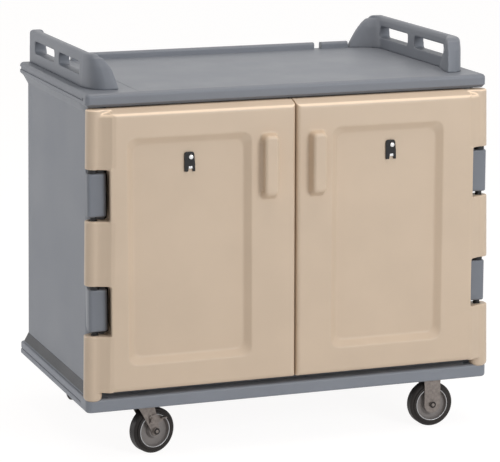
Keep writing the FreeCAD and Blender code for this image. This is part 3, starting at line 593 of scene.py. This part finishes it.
def domed_disc(name, place, radius, height):
    """A low dome that faces the front, its flat side at the given place; all in metres."""
    rings = []
    for share, rise in DOME_PROFILE:
        rings.append([(place[0] + radius * share * math.cos(a), place[1] - height * rise,
                       place[2] + radius * share * math.sin(a)) for a in round_angles(ROUND_STEPS)])
    obj = linked(name, *stacked(rings))
    shade(obj, lambda polygon: len(polygon.vertices) == 4)
    return obj


def menu_clip_skin(side):
    """Black clip with two feet, a tab between them in bright metal as a painted highlight, and a large bright rivet.
    """
    centre = CLIP_CENTRE[side]
    front, back = CLIP_FACES
    rings = [[((centre + x) * MM, y * MM, (CLIP_LOW + z) * MM) for x, z in CLIP_PLAN] for y in CLIP_FACES]
    stands_for(beveled(linked(side + "_menu_clip_skin", *stacked(rings)), CLIP_BEVEL), side + "_menu_clip")
    rivet = domed_disc(side + "_clip_rivet_skin", ((centre + RIVET_SHIFT) * MM, front * MM, RIVET_Z * MM),
                       RIVET_RADIUS, RIVET_HEIGHT)
    stands_for(rivet, side + "_clip_rivet")
    # The tab's bright metal finish paints the highlight on the clip's bent tab.
    tab = linked(side + "_clip_highlight_tab", *box_form([centre + x for x in TAB_ACROSS], (front - TAB_PROUD, back),
                                               [CLIP_LOW + z for z in TAB_HEIGHTS]))
    added_to(beveled(tab, TAB_BEVEL), side + "_menu_clip", "rivet")


# ---------------------------------------------------------------- base, eave and hinge trims
BUMPER_REACH = 586.0
BUMPER_FRONT = -324.5
BUMPER_CORNER = 16.0
CORNER_STEPS = 8
BAND_ENDS = ((-255.0, 7.0), (-262.0, 0.9))
BAND_SECTION = ((-6.0, 139.5), (-2.0, 138.8), (0.2, 141.0), (0.9, 144.0), (0.9, 167.5), (-0.6, 171.5),
                (-3.0, 173.6), (-7.0, 174.6))
EAVE_STEPS = ((-202.0, 1.0), (-225.0, 0.93), (-250.0, 0.62), (-276.0, 0.06))
EAVE_TOP = 961.5
EAVE_UNDERSIDE = 961.0
EAVE_WALL = 553.0
EAVE_FOOT = 556.2
EAVE_LIP = 555.9
EAVE_REACH = 11.5
EAVE_DROP = 24.0
GROOVE_FLOOR = ((560.0, 572.2), (-273.0, 362.0), (976.5, 986.5))
HINGE_PLACE = (558.0, -309.5)
SLEEVE_RADIUS = 9.0
# Painted shade: dark sleeves stand where the steel pins lie in shade under the knuckles.
SLEEVE_SPANS = {"lower": (350.5, 359.3), "upper": (661.5, 670.3)}


def front_band():
    """Smooth front of the bumper, run round both corners until it sinks into the sides."""
    path = []
    for sign in (-1, 1):
        half = [(BUMPER_REACH, y, (1, 0), sunk) for y, sunk in BAND_ENDS]
        half.append((BUMPER_REACH, BUMPER_FRONT + BUMPER_CORNER, (1, 0), 0.0))
        for step in range(1, CORNER_STEPS):
            turn = math.radians(90 * step / CORNER_STEPS)
            across, along = math.cos(turn), math.sin(turn)
            half.append((BUMPER_REACH - BUMPER_CORNER * (1 - across),
                         BUMPER_FRONT + BUMPER_CORNER * (1 - along), (across, -along), 0.0))
        half.append((BUMPER_REACH - BUMPER_CORNER, BUMPER_FRONT, (0, -1), 0.0))
        side = [(sign * x, y, (sign * nx, ny), sunk) for x, y, (nx, ny), sunk in half]
        path += side if sign < 0 else side[::-1]
    rings = [[((x + nx * (out - sunk)) * MM, (y + ny * (out - sunk)) * MM, z * MM) for out, z in BAND_SECTION]
             for x, y, (nx, ny), sunk in path]
    band = linked("front_bumper_band", *stacked(rings))
    shade(band, lambda polygon: False)
    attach(band, nodes["base_skirt"]["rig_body"])
    band.data.materials.append(SKIRT)


def eave_tip(side):
    """The eave's front end, run out to nothing towards the front corner."""
    rings = []
    for y, share in EAVE_STEPS:
        lip = EAVE_LIP + EAVE_REACH * share
        low = EAVE_UNDERSIDE - EAVE_DROP * share
        section = ((EAVE_WALL, EAVE_TOP), (lip, EAVE_TOP), (lip, EAVE_UNDERSIDE), (EAVE_FOOT, low), (EAVE_WALL, low))
        rings.append([(SIGN[side] * x * MM, y * MM, z * MM) for x, z in section])
    added_to(linked(side + "_eave_tip", *stacked(rings)), "cabinet_eave", "grey_shell")


def groove_floor(side):
    """Makes the worktop's side groove shallow up to the deep pit at its front end."""
    across, along, heights = GROOVE_FLOOR
    floor = linked(side + "_groove_floor", *box_form(mirrored(SIGN[side], *across), along, heights))
    added_to(floor, "top_deck", "grey_shell")


def pin_shade_sleeves(side):
    """Black nylon sleeves round the pins just under each knuckle, put there as painted shade on the pins."""
    hinge_x, hinge_y = HINGE_PLACE
    for name, span in SLEEVE_SPANS.items():
        rings = [[((SIGN[side] * hinge_x + SLEEVE_RADIUS * math.cos(a)) * MM,
                   (hinge_y + SLEEVE_RADIUS * math.sin(a)) * MM, z * MM) for a in round_angles(ROUND_STEPS)]
                 for z in span]
        added_to(linked(side + "_" + name + "_sleeve", *stacked(rings)), side + "_hinge_bushes", "black_nylon")


# ---------------------------------------------------------------- wheel trims
# A place is the wheel's middle and the turn of its fork in degrees. Sections list radius and distance.
WHEEL_HALF = 17.5
AXLE_Z = 63.5
WHEEL_PLACE = {"front_left": (-389.98, -273.52, 14.0), "back_left": (-438.5, 313.92, 240.0),
               "front_right": (431.0, -281.5, 0.0), "back_right": (431.0, 342.5, 0.0)}
SWIVEL_AXLE_REACH = 29.0
FIXED_AXLE_REACH = 27.2
TYRE_CHEEK = ((46.8, -2.0), (46.8, 0.5), (48.0, 1.0), (54.0, 0.6), (55.0, -2.0))
# A thin bright steel ring that paints the highlight on the wheel's rim.
RIM_HIGHLIGHT_RING = ((44.6, -1.5), (44.9, 1.0), (45.8, 1.4), (46.7, 0.9), (46.9, -1.5))
AXLE_WASHER = ((3.0, -1.0), (3.0, 0.4), (8.4, 0.4), (9.2, -1.0))
AXLE_NUT = ((0.6, -0.5), (0.6, 1.6), (4.4, 1.4), (5.2, -0.5))


def turned_ring(name, caster, face, section, node, slot):
    """A ring round the wheel's axle; section is a closed list of radius and distance out from the face."""
    x, y, angle = WHEEL_PLACE[caster]
    turn = math.radians(angle)
    across = (-math.sin(turn), math.cos(turn))
    along = (math.cos(turn), math.sin(turn))
    points = []
    for a in round_angles(WHEEL_STEPS):
        points += [((x + along[0] * r * math.cos(a) + across[0] * face * (WHEEL_HALF + d)) * MM,
                    (y + along[1] * r * math.cos(a) + across[1] * face * (WHEEL_HALF + d)) * MM,
                    (AXLE_Z + r * math.sin(a)) * MM) for r, d in section]
    count = len(section)
    faces = []
    for i in range(WHEEL_STEPS):
        n = (i + 1) % WHEEL_STEPS
        for j in range(count):
            k = (j + 1) % count
            faces.append((i * count + j, i * count + k, n * count + k, n * count + j))
    ring = linked(name, points, faces)
    shade(ring, lambda polygon: True)
    added_to(ring, node, slot)


def axle_cap(caster, face, reach):
    """A dark washer with a bright stepped nut on one end of an axle, reach from the wheel's middle."""
    far = reach - WHEEL_HALF
    name = caster + ("_front" if face < 0 else "_rear")
    for label, section, slot in (("_axle_washer", AXLE_WASHER, "tyre"), ("_axle_nut", AXLE_NUT, "zinc")):
        turned_ring(name + label, caster, face, [(r, far + d) for r, d in section], caster + "_axle", slot)


def wheel_trims(caster):
    """The tyre's flat cheeks and, inside them, a thin ring in bright steel that paints the highlight on the wheel's
    rim, on both faces.
    """
    for label, face in (("_front", -1), ("_rear", 1)):
        turned_ring(caster + label + "_tyre_cheek", caster, face, TYRE_CHEEK, caster + "_wheel", "tyre")
        turned_ring(caster + label + "_rim_highlight", caster, face, RIM_HIGHLIGHT_RING, caster + "_wheel", "strike_steel")


# ---------------------------------------------------------------- the cart, dressed
for node, obj in nodes.items():
    obj.data.materials.clear()
    obj.data.materials.append(SKIRT if node == "base_skirt" else FINISH[SLOT_OF_NODE[node]])

VOXEL = 0.0025
KNUCKLE_VOXEL = VOXEL * 0.6
HANDLE_VOXEL = 0.002
for side in SIGN:
    softened(side + "_door", side + "_door_skin", VOXEL, added=door_fillers(side))
    softened(side + "_hinge_knuckles", side + "_hinge_knuckles_skin", KNUCKLE_VOXEL)
    push_handle_skin(side)
    menu_clip_skin(side)
    eave_tip(side)
    groove_floor(side)
    pin_shade_sleeves(side)
front_band()
for caster in CASTERS:
    wheel_trims(caster)
    for face in (-1, 1):
        axle_cap(caster, face, SWIVEL_AXLE_REACH if "left" in caster else FIXED_AXLE_REACH)

# ---------------------------------------------------------------- floor, lights, camera
CAMERA_PLACE = Vector((-2.3579, -6.5373, 1.9556))
CAMERA_AIM = Vector((0.33158, 0.92191, -0.20034))
CAMERA_LENS = 179.9
FLOOR_REACH = 40.0
FLOOR_GLOW = 1.16
FLOOR_GLOW_SHARE = 0.8
WORLD_STRENGTH = 0.36
FLOOR_GREY = (0.8, 0.8, 0.8)
GLOW_WHITE = (1, 0.99, 0.985)
SKY_WHITE = (1.0, 0.995, 0.99)
SENSOR_WIDTH = 36.0
FAR_CLIP = 100.0
# Each light's name, place, aim, size, power in watts and tint.
SOFT_LIGHTS = (
    ("top softbox", (0.4, -0.6, 4.0), (0.1, 0.0, 0.6), (2.6, 2.2), 54.0, (1.0, 0.92, 0.85)),
    ("right key softbox", (1.7, -4.9, 2.3), (0.2, -0.2, 0.7), (1.6, 2.0), 104.0, (0.98, 1.0, 1.03)),
    ("left side softbox", (-4.0, 2.2, 1.6), (-0.4, 0.1, 0.6), (2.0, 2.4), 42.0, (1.0, 0.98, 1.0)),
)


def seen_directly(s):
    """1 for rays from the eye and in glossy reflections, 0 for the light that falls on the cart."""
    path = s.add("ShaderNodeLightPath")
    return s.math("MAXIMUM", path.outputs["Is Camera Ray"], path.outputs["Is Glossy Ray"])


def plain_floor(reach):
    mesh = bpy.data.meshes.new("floor")
    mesh.from_pydata([(-reach, -reach, 0), (reach, -reach, 0), (reach, reach, 0), (-reach, reach, 0)], [],
                     [(0, 1, 2, 3)])
    floor = bpy.data.objects.new("floor", mesh)
    bpy.context.scene.collection.objects.link(floor)
    material, s, body = new_material("white floor")
    tree = material.node_tree
    body.inputs["Base Color"].default_value = rgba(FLOOR_GREY)
    body.inputs["Roughness"].default_value = 0.9
    glow = s.add("ShaderNodeEmission", Color=rgba(GLOW_WHITE), Strength=FLOOR_GLOW)
    blend = s.add("ShaderNodeMixShader", Fac=s.math("MULTIPLY", seen_directly(s), FLOOR_GLOW_SHARE))
    tree.links.new(body.outputs[0], blend.inputs[1])
    tree.links.new(glow.outputs[0], blend.inputs[2])
    tree.links.new(blend.outputs[0], tree.nodes["Material Output"].inputs["Surface"])
    mesh.materials.append(material)


def white_world(strength):
    world = bpy.data.worlds.new("studio")
    bpy.context.scene.world = world
    world.use_nodes = True
    s = Shader(world.node_tree)
    background = world.node_tree.nodes["Background"]
    background.inputs["Color"].default_value = rgba(SKY_WHITE)
    s.feed(background, "Strength", s.span(seen_directly(s), 0.0, 1.0, strength, 1.0))


def soft_light(name, place, aim, size, power, tint):
    data = bpy.data.lights.new(name, "AREA")
    data.color = tint
    data.shape = "RECTANGLE"
    data.size, data.size_y = size
    data.energy = power
    lamp = bpy.data.objects.new(name, data)
    bpy.context.scene.collection.objects.link(lamp)
    lamp.location = place
    lamp.rotation_mode = "QUATERNION"
    lamp.rotation_quaternion = (Vector(aim) - Vector(place)).to_track_quat("-Z", "Y")


def camera():
    data = bpy.data.cameras.new("camera")
    data.sensor_width = SENSOR_WIDTH
    data.lens = CAMERA_LENS
    data.clip_end = FAR_CLIP
    made = bpy.data.objects.new("camera", data)
    bpy.context.scene.collection.objects.link(made)
    made.location = CAMERA_PLACE
    made.rotation_mode = "QUATERNION"
    made.rotation_quaternion = CAMERA_AIM.to_track_quat("-Z", "Y")
    bpy.context.scene.camera = made


plain_floor(FLOOR_REACH)
white_world(WORLD_STRENGTH)
for light in SOFT_LIGHTS:
    soft_light(*light)
camera()
bpy.context.scene.view_settings.view_transform = "Standard"
